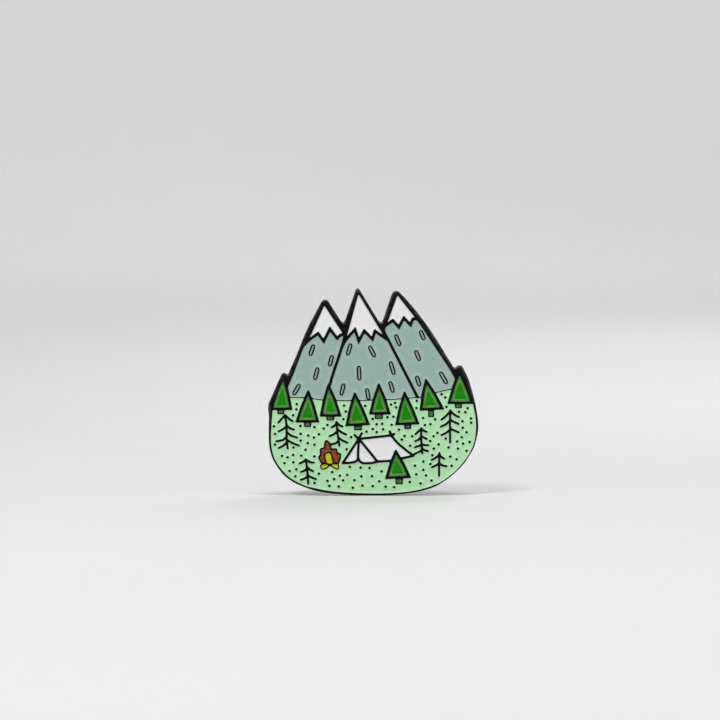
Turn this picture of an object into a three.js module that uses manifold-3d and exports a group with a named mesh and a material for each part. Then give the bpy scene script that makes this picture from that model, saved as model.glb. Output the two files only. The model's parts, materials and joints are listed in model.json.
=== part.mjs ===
// A soft enamel pin: a struck black metal plate whose raised lines draw peaks, firs, a tent and a
// campfire, with a fill of enamel in each cell between the lines. Two posts are soldered to its back,
// and each carries a butterfly clutch: a stamped cap, a dome on the cap, and two sliding spring leaves
// whose ears stick out of the dome's windows. The pin stands upright as it is worn: +X to the viewer's
// right, +Z up, the picture towards -Y, and the back of the plate in the plane y = 0.
import * as THREE from 'three';
import { mergeVertices } from 'three/addons/utils/BufferGeometryUtils.js';
import Module from 'manifold-3d';

const wasm = await Module();
wasm.setup();

// Plate: levels are depths in front of the back plane, in millimetres.
const PLATE = 1.4; // tops of the raised lines
const FLOOR = 0.95; // floor of the cells
const ENAMEL_TOP = 1.27; // the fill stops a little below the lines
const SEAT = 0.015; // clearance of a fill from the metal round it and under it
const CUT = 0.3; // how far a cutting solid runs past the face it opens

// Widths of the raised lines.
const SNOW_LINE = 0.43;
const PEAK_LINE = 0.42;
const HORIZON_LINE = 0.15;
const FIR_WALL = 0.38;
const TRUNK_WALL = 0.17;
const TWIG_LINE = 0.33;
const TENT_LINE = 0.36;
const FIRE_WALL = 0.22;
const LOG_WALL = 0.18;
const SLOT_OUTER = 0.66;
const SLOT_INNER = 0.23;
const DOT_RADIUS = 0.2;
const DOT_SIDES = 4;

// Blank struck ring on the back, round the middle of the plate.
const RING_INNER = 1.45;
const RING_OUTER = 1.65;
const RING_DEPTH = 0.08;

// Posts and clutches. Heights are distances behind the back plane.
const POST_X = 7.5;
const POST_Z = -2.5;
const POST_RADIUS = 0.575;
const POST_TIP = 8.35;
const PAD_RADIUS = 2.5;
const PAD_TOP = 0.42;
const GROOVE_RADIUS = 0.47;
const CLOTH = 1.1; // room between the plate and the clutch's rim for the garment
const CAP_RADIUS = 5.75;
const CAP_HOLE = 0.85;
const CAP_FLOOR = 0.45;
const SHEET = 0.25;
const CAP_TOP = 0.75;
const DOME_RADIUS = 3.4;
const DOME_TOP = 3.0;
const WINDOW_WIDTH = 3.9;
const WINDOW_LOW = 1.0;
const WINDOW_HIGH = 2.35;
const LEAF_WIDTH = 3.2;
const LEAF_SHEET = 0.25;
const LEAF_LEVELS = [1.2, 1.75];
const LEAF_HOLE = 0.85;
const GRIP_CLEARANCE = 0.015; // between the post and the hole's rim that bears on it
const EAR_REACH = 5.1;
const EAR_TOP = 4.4;
const ROUND = 20; // flats round a clutch
const POST_ROUND = 14;

// Finishes.
const metal = (color, roughness) =>
  new THREE.MeshStandardMaterial({ color, roughness, metalness: 1 });
const enamel = (color) =>
  new THREE.MeshStandardMaterial({ color, roughness: 0.25, metalness: 0 });
const FINISH = {
  black: () => metal(0x15171a, 0.35),
  nickel: () => metal(0xc4c5c3, 0.25),
  white: () => enamel(0xe8e8e8),
  sage: () => enamel(0x93afa3),
  pale: () => enamel(0xb5bdb9),
  mint: () => enamel(0xa9e0a5),
  green: () => enamel(0x1f8a05),
  bark: () => enamel(0x47604a),
  rust: () => enamel(0x9a4a28),
  yellow: () => enamel(0xd2d200),
};

// ---- outlines in the plane of the plate, [x, z] in millimetres -----------------------------------

const soft = (points, pieces) =>
  new THREE.SplineCurve(points.map(([x, z]) => new THREE.Vector2(x, z)))
    .getPoints(pieces)
    .map((p) => [p.x, p.y]);

// Rounds the corners that give a radius, as [x, z, radius]; the others stay sharp.
function rounded(corners, pieces = 2) {
  const count = corners.length;
  return corners.flatMap(([x, z, radius], i) => {
    if (!radius) return [[x, z]];
    const corner = new THREE.Vector2(x, z);
    const before = new THREE.Vector2(...corners[(i + count - 1) % count]).sub(corner).normalize();
    const after = new THREE.Vector2(...corners[(i + 1) % count]).sub(corner).normalize();
    const reach = radius / Math.tan(Math.acos(before.dot(after)) / 2);
    const start = before.multiplyScalar(reach).add(corner);
    const end = after.multiplyScalar(reach).add(corner);
    return new THREE.QuadraticBezierCurve(start, corner, end).getPoints(pieces).map((p) => [p.x, p.y]);
  });
}

// Where the two sides that meet at a point cross once each has moved sideways by `distance`.
function mitre(before, point, after, distance) {
  const here = new THREE.Vector2(...point);
  const into = here.clone().sub(new THREE.Vector2(...before)).normalize();
  const out = new THREE.Vector2(...after).sub(here).normalize();
  const across = new THREE.Vector2(into.y + out.y, -into.x - out.x).normalize();
  const reach = distance / across.dot(new THREE.Vector2(into.y, -into.x));
  return [here.x + across.x * reach, here.y + across.y * reach];
}

const area = (points) =>
  points.reduce((sum, [x, z], i) => {
    const [nextX, nextZ] = points[(i + 1) % points.length];
    return sum + (x * nextZ - nextX * z) / 2;
  }, 0);

// A closed outline moved outwards by `distance`, or inwards where it is negative.
function grown(points, distance) {
  const count = points.length;
  const side = Math.sign(area(points)) * distance;
  return points.map((p, i) => mitre(points[(i + count - 1) % count], p, points[(i + 1) % count], side));
}

// The outline of a line drawn through the points, with blunted ends.
function stroke(points, width) {
  const half = width / 2;
  const ahead = (from, to) => {
    const step = new THREE.Vector2(to[0] - from[0], to[1] - from[1]).normalize();
    return [to[0] + step.x, to[1] + step.y];
  };
  const first = ahead(points[1], points[0]);
  const last = ahead(points.at(-2), points.at(-1));
  const run = [first, ...points, last];
  const edge = (side) => points.map((p, i) => mitre(run[i], p, run[i + 2], side * half));
  const cap = (end, beyond) => {
    const out = new THREE.Vector2(beyond[0] - end[0], beyond[1] - end[1]).multiplyScalar(half);
    const lean = out.clone().multiplyScalar(0.87);
    return [0.5, -0.5].map((k) => [end[0] + lean.x - out.y * k, end[1] + lean.y + out.x * k]).reverse();
  };
  const right = edge(1);
  const left = edge(-1).reverse();
  return [...right, ...cap(points.at(-1), last), ...left, ...cap(points[0], first)];
}

const ring = ([x, z], radius, sides) =>
  Array.from({ length: sides }, (_, i) => {
    const turn = (i / sides) * 2 * Math.PI;
    return [x + radius * Math.sin(turn), z + radius * Math.cos(turn)];
  });

// ---- the picture ----------------------------------------------------------------------------------

// Outer edge of the plate: three peaks, a fir at each shoulder and one long curve round the meadow.
const EDGE = rounded([
  [-6.96, 13.75, 0.55],
  [-4.3, 9.5, 0.35],
  [-2.34, 15.15, 0.28],
  [1.1, 9.5, 0.35],
  [2.97, 15.05, 0.65],
  [5.75, 12.0],
  [8.15, 8.85],
  [11.55, 3.3, 0.25],
  [12.45, 4.15, 0.5],
  ...soft([[13.5, 2], [14.12, 0], [14.6, -2], [14.95, -4.3], [14.88, -6], [14.3, -8.1]], 9),
  ...soft([[13.15, -9.95], [11.85, -11.4], [10, -12.85], [8, -13.85], [5, -14.5], [1.5, -14.78]], 9),
  ...soft([[-1.5, -14.8], [-4.5, -14.65], [-7.2, -14.35], [-9.4, -13.8], [-11.4, -12.95]], 7),
  ...soft([[-12.75, -12], [-14.1, -10.2], [-14.78, -8.4], [-14.97, -6.5], [-14.92, -3.4]], 7),
  [-15.08, -2.5, 0.2],
  [-15.0, -1.7, 0.6],
  [-12.83, 3.2, 0.4],
  [-12.3, 2.25, 0.2],
  [-10.8, 5.7],
  [-9.55, 8.9],
]);

// Inner edge of the rim. Where a fir stands on the rim, it runs inside that fir.
const FIELD = rounded([
  [-7.02, 12.3, 0.1],
  [-3.9, 7.55],
  [-2.15, 13.95, 0.1],
  [1.35, 8.1],
  [3.42, 13.75, 0.1],
  [5.9, 10.6],
  [6.75, 9.4],
  [9.0, 6.0],
  [10.95, 3.05],
  [11.4, 2.2],
  [11.75, 1.6],
  [13.2, -1.55],
  [14.18, -1.65],
  ...soft([[14.22, -1.9], [14.62, -4], [14.55, -6.3], [14.05, -8.1], [12.95, -9.9], [11.6, -11.4]], 9),
  ...soft([[9.9, -12.7], [7.9, -13.6], [5, -14.25], [1, -14.5], [-3, -14.42], [-6.5, -14.12]], 8),
  ...soft([[-9.5, -13.5], [-11.6, -12.5], [-13.2, -11], [-14.3, -9.1], [-14.65, -6.6], [-14.43, -3]], 10),
  [-14.4, -2.5],
  [-13.4, -2.1],
  [-12.6, 0],
  [-12.22, 0.6],
  [-11.25, 2.95],
  [-10.02, 6.2],
  [-9.55, 6.95],
  [-8.85, 8.25],
]);

// Lower edges of the snow.
const SNOW_EDGES = [
  [
    [-10.2, 6.4],
    [-9.3, 7.35],
    [-7.92, 8.35],
    [-7.1, 7.2],
    [-6.22, 8.98],
    [-5.2, 7.62],
    [-4.7, 8.13],
    [-4.1, 8.15],
  ],
  [[-4.35, 7.0], [-2.65, 8.9], [-2.1, 7.25], [-1.32, 8.7], [-0.15, 7.5], [0.2, 8.68], [1.95, 7.45]],
  [[1.3, 9.15], [2.75, 10.2], [3.62, 9.22], [4.33, 10.56], [5.28, 9.53], [5.6, 10.4], [6.2, 10.42]],
];

// Where one peak stands in front of the next.
const PEAK_EDGES = [
  [[-4.0, 8.3], [-4.35, 7.0], [-4.95, 5.0], [-5.65, 3.0], [-6.3, 0.8]],
  [[1.35, 8.85], [2.3, 7.05], [4.3, 3.1], [6.3, -0.8]],
];

const HORIZON = [
  [-12.1, -0.82],
  [-9.7, -0.83],
  [-7.1, -1.18],
  [-4.0, -1.25],
  [-0.6, -1.2],
  [3.2, -1.05],
  [6.8, -0.75],
  [8.9, -0.1],
  [11.3, 0.45],
];

// Slots on the peaks: middle of the upper end, middle of the lower end.
const SLOTS = [
  [[-8.6, 6.5], [-9.0, 5.4]],
  [[-5.95, 5.0], [-6.22, 3.9]],
  [[-8.0, 3.25], [-8.35, 1.95]],
  [[-10.65, 0.9], [-11.3, -0.2]],
  [[-3.3, 6.65], [-3.65, 5.45]],
  [[-0.5, 6.35], [0.08, 5.2]],
  [[2.45, 4.1], [2.88, 2.7]],
  [[-2.1, 3.45], [-2.02, 1.9]],
  [[-4.27, 0.95], [-4.58, -0.25]],
  [[2.4, 1.25], [2.75, 0.15]],
  [[-0.92, 0.25], [-0.72, -0.88]],
  [[3.22, 7.95], [3.7, 6.8]],
  [[6.75, 8.55], [7.15, 7.65]],
  [[6.08, 5.72], [6.5, 4.68]],
  [[6.2, 2.05], [6.53, 1.05]],
  [[9.62, 2.65], [10.35, 1.35]],
];

// Firs: the tip and the two lower corners of the outline, then the trunk's left, right and foot.
const FIRS = [
  { tip: [-12.85, 2.75], left: [-14.85, -2.62], right: [-11.55, -2.62], trunk: [-13.75, -12.72, -3.2] },
  { tip: [-9.3, 0.5], left: [-11.2, -4.4], right: [-7.7, -4.4], trunk: [-9.92, -8.88, -5.05] },
  { tip: [-6.45, 1.45], left: [-7.72, -3.55], right: [-4.5, -3.55], trunk: [-6.75, -5.6, -4.1] },
  { tip: [-2.72, 0.2], left: [-4.05, -4.95], right: [-0.45, -4.75], trunk: [-2.8, -1.65, -5.5] },
  { tip: [0.75, 1.5], left: [-0.68, -3.25], right: [2.5, -3.25], trunk: [0.18, 1.35, -3.9] },
  { tip: [4.38, 0.3], left: [3.05, -4.8], right: [6.6, -4.65], trunk: [4.37, 5.4, -5.33] },
  { tip: [7.4, 2.1], left: [6.55, -2.72], right: [10.15, -2.52], trunk: [7.78, 8.65, -3.62] },
  { tip: [12.25, 3.35], left: [10.5, -1.75], right: [14.35, -1.75], trunk: [11.6, 12.63, -2.35] },
  { tip: [3.15, -8.05], left: [1.6, -12.48], right: [5.42, -12.3], trunk: [3.12, 4.2, -13.2] },
];
const FIR_BULGE = 0.13; // how far a fir's long sides bow outwards
const FIR_TIP = 0.16; // radius of its tip

// Bare trees: the trunk from the top down, then a pair of drooping branches at each level.
const BARE_TREES = [
  {
    trunk: [[-12.6, -3.35], [-12.4, -4.9], [-12.4, -6.6], [-12.25, -8.1]],
    branches: [
      [[-12.6, -3.3], [-13.6, -4.4]],
      [[-12.6, -3.3], [-11.95, -3.95], [-11.5, -4.2]],
      [[-12.4, -4.95], [-12.95, -5.35], [-13.55, -5.65]],
      [[-12.4, -4.75], [-11.95, -5.2], [-11.35, -5.4]],
      [[-12.35, -6.35], [-12.9, -6.88], [-13.9, -7.06]],
      [[-12.45, -5.7], [-11.8, -6.25], [-10.9, -6.53]],
      [[-12.35, -7.2], [-12.8, -7.65], [-13.55, -8.02]],
      [[-12.3, -6.9], [-11.6, -7.3], [-10.65, -7.68]],
    ],
  },
  {
    trunk: [[-5.3, -4.25], [-5.15, -5.8], [-4.87, -7.7]],
    branches: [
      [[-5.3, -4.5], [-5.6, -4.88], [-6.0, -5.05]],
      [[-5.3, -4.3], [-4.85, -4.78], [-4.42, -4.95]],
      [[-5.15, -5.65], [-5.7, -6.08], [-6.3, -6.33]],
      [[-5.2, -5.25], [-4.6, -5.8], [-3.9, -6.08]],
      [[-4.95, -7.0], [-5.4, -7.35], [-6.1, -7.5]],
      [[-5.05, -6.5], [-4.4, -6.97], [-3.72, -7.26]],
    ],
  },
  {
    trunk: [[6.8, -5.15], [6.78, -6.5], [6.95, -8.8]],
    branches: [
      [[6.8, -5.25], [6.3, -5.75], [5.98, -6.05]],
      [[6.8, -5.25], [7.25, -5.6], [7.6, -5.72]],
      [[6.75, -6.45], [6.4, -6.85], [5.93, -7.03]],
      [[6.8, -6.3], [7.15, -6.5], [7.6, -6.73]],
      [[6.85, -7.6], [6.45, -7.72], [5.88, -7.92]],
      [[6.85, -7.45], [7.25, -7.6], [7.83, -7.6]],
      [[6.9, -8.35], [6.35, -8.62], [5.8, -8.9]],
      [[6.9, -8.05], [7.3, -8.36], [7.78, -8.45]],
    ],
  },
  {
    trunk: [[10.97, -2.6], [10.9, -4.5], [10.93, -7.25]],
    branches: [
      [[10.95, -2.75], [10.3, -3.5], [9.68, -3.98]],
      [[10.95, -2.7], [11.55, -3.3], [12.2, -3.6]],
      [[10.9, -4.05], [10.4, -4.6], [9.58, -4.98]],
      [[10.9, -3.95], [11.6, -4.35], [12.15, -4.58]],
      [[10.9, -5.4], [10.4, -5.85], [9.68, -6.17]],
      [[10.9, -5.25], [11.55, -5.52], [12.18, -5.8]],
    ],
  },
  {
    trunk: [[-9.66, -9.6], [-9.45, -11.2], [-9.32, -13.1]],
    branches: [
      [[-9.65, -9.65], [-10.1, -10.02], [-10.55, -10.2]],
      [[-9.65, -9.65], [-9.1, -10.03], [-8.5, -10.1]],
      [[-9.5, -10.95], [-9.9, -11.28], [-10.37, -11.43]],
      [[-9.5, -10.7], [-9.1, -11.1], [-8.6, -11.32]],
      [[-9.4, -12.05], [-9.85, -12.38], [-10.4, -12.56]],
      [[-9.4, -11.9], [-8.85, -12.22], [-8.2, -12.45]],
    ],
  },
  {
    trunk: [[9.4, -8.7], [9.35, -10.3], [9.35, -12.0]],
    branches: [
      [[9.38, -8.95], [8.9, -9.4], [8.28, -9.72]],
      [[9.38, -8.95], [9.75, -9.35], [10.12, -9.55]],
      [[9.35, -10.2], [8.9, -10.5], [8.33, -10.76]],
      [[9.35, -10.15], [9.85, -10.52], [10.45, -10.6]],
    ],
  },
];

// Tent: two crossed front poles, the door's closing seam, the ridge, the rear pole and the hems.
const TENT_LINES = [
  [[-1.67, -5.88], [-2.2, -6.85], [-4.4, -10.18]],
  [[-2.72, -6.12], [-1.55, -7.35], [0.5, -9.88]],
  [[-2.1, -6.8], [-2.2, -8.5], [-2.22, -9.75]],
  [[-2.1, -6.72], [2.4, -6.22], [2.98, -6.0]],
  [[2.3, -5.62], [2.5, -6.2], [3.35, -7.25], [4.8, -8.45], [5.72, -9.1]],
  [[-4.38, -10.18], [-3.3, -10.13], [-2.5, -9.95], [-2.25, -9.7]],
  [[-2.2, -9.5], [-1.95, -9.95], [-1.5, -10.2], [-0.2, -10.18], [0.6, -9.95], [2.6, -9.83], [5.68, -9.12]],
];

// Campfire: the flame, the core inside it and the ends of two logs.
const FLAME = [
  [-6.72, -6.8],
  [-6.36, -7.02],
  [-6.12, -7.4],
  [-5.92, -8.1],
  [-5.45, -7.98],
  [-5.15, -8.12],
  [-5.07, -8.66],
  [-4.74, -8.66],
  [-4.58, -8.92],
  [-4.63, -9.5],
  [-4.95, -10.28],
  [-7.47, -10.28],
  [-7.8, -9.75],
  [-7.95, -9.2],
  [-7.65, -8.98],
  [-7.71, -8.2],
  [-7.48, -7.94],
  [-7.12, -7.96],
  [-7.07, -7.35],
  [-6.97, -6.96],
];
const FLAME_CORE = rounded([
  [-7.02, -8.76, 0.42],
  [-6.16, -8.72, 0.36],
  [-5.8, -10.2, 0.12],
  [-6.62, -10.22, 0.24],
]);
const LOGS = [
  [
    [-7.72, -10.35, 0.3],
    [-6.95, -10.14, 0.1],
    [-6.02, -10.42, 0.06],
    [-6.75, -11.0, 0.3],
    [-7.5, -11.22, 0.34],
  ],
  [
    [-6.48, -10.42, 0.06],
    [-5.7, -10.16, 0.1],
    [-4.96, -10.14, 0.16],
    [-4.82, -11.15, 0.3],
    [-5.35, -11.1, 0.3],
  ],
];

// Dots strewn over the meadow, from the left edge to the right.
const DOTS = [
  [-14.2, -4.92], [-14.06, -6], [-14.08, -7.53], [-13.07, -9.14], [-12.71, -10.17], [-12.27, -9.35],
  [-11.98, -11.3], [-11.47, -3.35], [-11.43, -7.93], [-11.47, -9], [-11.44, -10.06], [-11.15, -12.06],
  [-11.02, -11.05], [-10.95, -1.75], [-11, -2.5], [-10.44, -4.88], [-10.4, -6], [-10.4, -6.96],
  [-10.32, -9.1], [-9.7, -8.26], [-9.32, -6.23], [-9.39, -7.3], [-8.44, -5.02], [-8.5, -6.53],
  [-8.43, -7.53], [-8.44, -9.2], [-8.41, -13], [-7.79, -6.05], [-7.8, -11.68], [-7.11, -5.22],
  [-6.58, -4.72], [-6.56, -12.7], [-6.3, -13.4], [-5.89, -11.45], [-5.63, -12.44], [-4.97, -13.5],
  [-4.8, -11.96], [-4.35, -12.62], [-4.2, -1.95], [-3.94, -2.8], [-4.3, -3.9], [-3.84, -8.2],
  [-3.75, -11.85], [-3.38, -10.7], [-3.2, -6.45], [-2.96, -13.68], [-2.73, -12.6], [-1.85, -10.82],
  [-1.74, -12.06], [-1.59, -13.37], [-1.2, -2.0], [-1, -5.68], [-0.56, -10.86], [-0.23, -12.03],
  [-0.13, -3.86], [-0.1, -5.3], [-0.1, -13.45], [0.45, -4.62], [0.45, -5.75], [0.8, -12.76],
  [1.15, -11.35], [1.23, -4.55], [1.37, -5.34], [1.73, -13.54], [1.97, -3.62], [2.5, -1.82],
  [2.59, -4.7], [2.84, -3.55], [2.92, -13.6], [3.08, -1.57], [3.22, -2.21], [3.64, -5.4],
  [4.03, -6.82], [4.42, -6.28], [5.17, -12.86], [5.22, -7.67], [5.51, -6.34], [5.9, -10.54],
  [6.1, -11.76], [6.12, -2.3], [6.18, -1.3], [6.71, -13.06], [7.08, -3.72], [7.11, -9.94],
  [7.1, -11.12], [7.34, -4.74], [7.5, -11.93], [8.09, -7.02], [8.12, -4.62], [8.11, -10.3],
  [8.26, -12.65], [8.39, -9.04], [8.56, -6.34], [8.61, -8.09], [8.79, -3.92], [9.11, -5.84],
  [9.3, -7.5], [9.72, -0.34], [10.23, -0.8], [10.31, -6.65], [10.4, -2.15], [10.71, -7.93],
  [10.95, -9.24], [11.14, -10.56], [11.85, -9.62], [11.93, -7.08], [12.05, -8.1], [12.19, -2.85],
  [12.59, -6.47], [12.69, -4.21], [12.72, -5.13], [12.78, -7.39], [13.09, -2.9], [13.28, -5.77],
  [13.28, -8.4], [13.42, -2.33], [13.7, -7.15], [13.9, -3.8], [13.93, -4.4],
];

// One point inside each large cell, by the name of its fill.
const CELLS = {
  snow_left: { at: [-7, 10], finish: 'white' },
  snow_middle: { at: [-1.8, 11], finish: 'white' },
  snow_right: { at: [3.6, 11.8], finish: 'white' },
  slope_left: { at: [-8, 5], finish: 'sage' },
  slope_middle: { at: [0.5, 4], finish: 'sage' },
  slope_right: { at: [8.5, 4.5], finish: 'sage' },
  meadow: { at: [1.5, -12.3], finish: 'mint' },
  tent_door_left: { at: [-2.9, -9.2], finish: 'white' },
  tent_door_right: { at: [-1.4, -9.2], finish: 'white' },
  tent_side: { at: [1, -8], finish: 'white' },
};

// ---- solids ---------------------------------------------------------------------------------------

function solid(geometry) {
  const bare = geometry.clone();
  bare.deleteAttribute('normal');
  bare.deleteAttribute('uv');
  const merged = mergeVertices(bare, 1e-4);
  const corners = Array.from(merged.index.array);
  const triVerts = [];
  for (let i = 0; i < corners.length; i += 3) {
    const [a, b, c] = corners.slice(i, i + 3);
    if (a !== b && b !== c && c !== a) triVerts.push(a, b, c);
  }
  const surface = new wasm.Mesh({
    numProp: 3,
    vertProperties: merged.attributes.position.array,
    triVerts: new Uint32Array(triVerts),
  });
  return new wasm.Manifold(surface);
}

function mesh(name, body, material) {
  const { vertProperties, triVerts } = body.getMesh();
  const geometry = new THREE.BufferGeometry();
  geometry.setAttribute('position', new THREE.BufferAttribute(vertProperties, 3));
  geometry.setIndex(new THREE.BufferAttribute(triVerts, 1));
  const made = new THREE.Mesh(geometry, material);
  made.name = name;
  return made;
}

// The outline as a solid that lies between two depths in front of the back plane.
function prism(points, near, far) {
  const shape = new THREE.Shape(points.map(([x, z]) => new THREE.Vector2(x, z)));
  const geometry = new THREE.ExtrudeGeometry(shape, { depth: far - near, bevelEnabled: false });
  geometry.translate(0, 0, near);
  geometry.rotateX(Math.PI / 2);
  return solid(geometry);
}

const joined = (solids) => solids.reduce((whole, piece) => whole.add(piece));
const parted = (whole, solids) => solids.reduce((rest, piece) => rest.subtract(piece), whole);

// ---- plate and enamel -----------------------------------------------------------------------------

// A fir's outline before its tip is rounded.
function firCorners({ tip, left, right }) {
  const bowed = (from, to, side) => {
    const step = new THREE.Vector2(to[0] - from[0], to[1] - from[1]).normalize();
    const middle = [(from[0] + to[0]) / 2, (from[1] + to[1]) / 2];
    return [middle[0] + side * FIR_BULGE * step.y, middle[1] - side * FIR_BULGE * step.x];
  };
  return [tip, bowed(tip, right, -1), right, left, bowed(left, tip, -1)];
}

function trunkOutline({ left, right, trunk: [from, to, foot] }) {
  const top = Math.max(left[1], right[1]) + FIR_WALL / 2;
  return [[from, top], [to, top], [to, foot], [from, foot]];
}

// The cell inside a trunk's outline starts at the fir's lower edge.
function trunkCell(fir) {
  const [from, to, foot] = fir.trunk;
  const top = Math.min(fir.left[1], fir.right[1]) - SEAT;
  return [
    [from + TRUNK_WALL, top],
    [to - TRUNK_WALL, top],
    [to - TRUNK_WALL, foot + TRUNK_WALL],
    [from + TRUNK_WALL, foot + TRUNK_WALL],
  ];
}

// Every raised line and island, each made wider all round by `spare`.
function raised(spare, near, far) {
  const line = (width) => (points) => prism(stroke(points, width + 2 * spare), near, far);
  const island = (points) => prism(grown(points, spare), near, far);
  const firIsland = (fir) => {
    const [tip, ...others] = firCorners(fir);
    return island(rounded([[...tip, FIR_TIP], ...others]));
  };
  return [
    ...SNOW_EDGES.map(line(SNOW_LINE)),
    ...PEAK_EDGES.map(line(PEAK_LINE)),
    line(HORIZON_LINE)(HORIZON),
    ...SLOTS.map(line(SLOT_OUTER)),
    ...FIRS.map(firIsland),
    ...FIRS.map((fir) => island(trunkOutline(fir))),
    ...BARE_TREES.flatMap(({ trunk, branches }) => [trunk, ...branches].map(line(TWIG_LINE))),
    ...TENT_LINES.map(line(TENT_LINE)),
    ...[FLAME, ...LOGS.map((log) => rounded(log))].map(island),
    ...DOTS.map((dot) => island(ring(dot, DOT_RADIUS, DOT_SIDES))),
  ];
}

// The large cells by name: what the rim encloses, less everything raised.
function largeCells(spare, near, far) {
  const field = prism(grown(FIELD, -spare), near, far);
  const pieces = field.subtract(joined(raised(spare, near - CUT, far + CUT))).decompose();
  return Object.entries(CELLS).map(([name, { at, finish }]) => {
    const probe = prism(ring(at, 0.05, 4), near - CUT, far + CUT);
    return { name, finish, body: pieces.find((piece) => !piece.intersect(probe).isEmpty()) };
  });
}

// The small cells by name: each is sunk into an island of its own.
function smallCells(spare, near, far) {
  const cell = (name, finish, points) => ({ name, finish, body: prism(grown(points, -spare), near, far) });
  const two = (i) => String(i + 1).padStart(2, '0');
  const core = prism(grown(FLAME_CORE, FIRE_WALL + spare), near - CUT, far + CUT);
  const ends = LOGS.map((log) => prism(grown(rounded(log), spare), near - CUT, far + CUT));
  const flame = cell('flame', 'rust', grown(FLAME, -FIRE_WALL));
  return [
    ...SLOTS.map((slot, i) => cell(`slot_${two(i)}`, 'pale', stroke(slot, SLOT_INNER))),
    ...FIRS.map((fir, i) => cell(`fir_${i + 1}`, 'green', grown(firCorners(fir), -FIR_WALL))),
    ...FIRS.map((fir, i) => cell(`trunk_${i + 1}`, 'bark', trunkCell(fir))),
    { ...flame, body: parted(flame.body, [core, ...ends]) },
    cell('flame_core', 'yellow', FLAME_CORE),
    cell('log_left', 'yellow', grown(LOGS[0], -LOG_WALL)),
    cell('log_right', 'yellow', grown(LOGS[1], -LOG_WALL)),
  ];
}

function struckBase() {
  const cells = [...largeCells(0, FLOOR, PLATE + CUT), ...smallCells(0, FLOOR, PLATE + CUT)];
  const plate = parted(prism(EDGE, 0, PLATE), cells.map(({ body }) => body));
  const moat = prism(ring([0, 0], RING_OUTER, ROUND), -CUT, RING_DEPTH);
  const seal = prism(ring([0, 0], RING_INNER, ROUND), -2 * CUT, 2 * RING_DEPTH);
  return mesh('struck_base', plate.subtract(moat.subtract(seal)), FINISH.black());
}

function enamelFills() {
  const low = FLOOR + SEAT;
  const cells = [...largeCells(SEAT, low, ENAMEL_TOP), ...smallCells(SEAT, low, ENAMEL_TOP)];
  return cells.map(({ name, finish, body }) => mesh(name, body, FINISH[finish]()));
}

// ---- posts and clutches, each about its own axis, which runs along +Y -----------------------------

const turned = (profile, flats) =>
  new THREE.LatheGeometry(profile.map(([r, y]) => new THREE.Vector2(r, y)), flats);

function post() {
  return turned(
    [
      [0, 0],
      [PAD_RADIUS - 0.08, 0],
      [PAD_RADIUS, 0.1],
      [PAD_RADIUS, PAD_TOP - 0.12],
      [PAD_RADIUS - 0.15, PAD_TOP],
      [0.9, PAD_TOP],
      [0.66, PAD_TOP + 0.15],
      [POST_RADIUS, PAD_TOP + 0.5],
      [POST_RADIUS, POST_TIP - 2.1],
      [GROOVE_RADIUS, POST_TIP - 1.95],
      [GROOVE_RADIUS, POST_TIP - 1.65],
      [POST_RADIUS, POST_TIP - 1.5],
      [POST_RADIUS, POST_TIP - 0.9],
      [0.1, POST_TIP - 0.04],
      [0, POST_TIP],
    ],
    POST_ROUND,
  );
}

// A dished disc with a rolled rim that bears on the garment and a raised lip round its hole.
function clutchCap() {
  return turned(
    [
      [CAP_HOLE, CAP_FLOOR],
      [2.7, CAP_FLOOR],
      [CAP_RADIUS - 1.5, 0.3],
      [CAP_RADIUS - 0.45, 0.2],
      [CAP_RADIUS - 0.3, 0],
      [CAP_RADIUS - 0.1, 0],
      [CAP_RADIUS, 0.15],
      [CAP_RADIUS - 0.05, 0.42],
      [CAP_RADIUS - 0.4, 0.52],
      [CAP_RADIUS - 1.5, 0.6],
      [DOME_RADIUS + 0.2, CAP_TOP],
      [CAP_HOLE + 0.25, CAP_TOP],
      [CAP_HOLE, CAP_TOP],
      [CAP_HOLE, CAP_FLOOR],
    ],
    ROUND,
  );
}

// A drum with a domed top, a hole for the post and a window each side for the ears.
function clutchDome() {
  const wall = DOME_RADIUS - SHEET;
  const drum = turned(
    [
      [wall, CAP_TOP],
      [DOME_RADIUS, CAP_TOP],
      [DOME_RADIUS, WINDOW_HIGH],
      [DOME_RADIUS - 0.3, DOME_TOP - 0.3],
      [2.0, DOME_TOP],
      [CAP_HOLE, DOME_TOP],
      [CAP_HOLE, DOME_TOP - SHEET],
      [1.9, DOME_TOP - SHEET],
      [wall - 0.25, DOME_TOP - 0.5],
      [wall, WINDOW_HIGH - 0.1],
      [wall, CAP_TOP],
    ],
    ROUND,
  );
  const window = new THREE.BoxGeometry(3 * DOME_RADIUS, WINDOW_HIGH - WINDOW_LOW, WINDOW_WIDTH);
  window.translate(0, (WINDOW_HIGH + WINDOW_LOW) / 2, 0);
  return solid(drum).subtract(solid(window));
}

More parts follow.
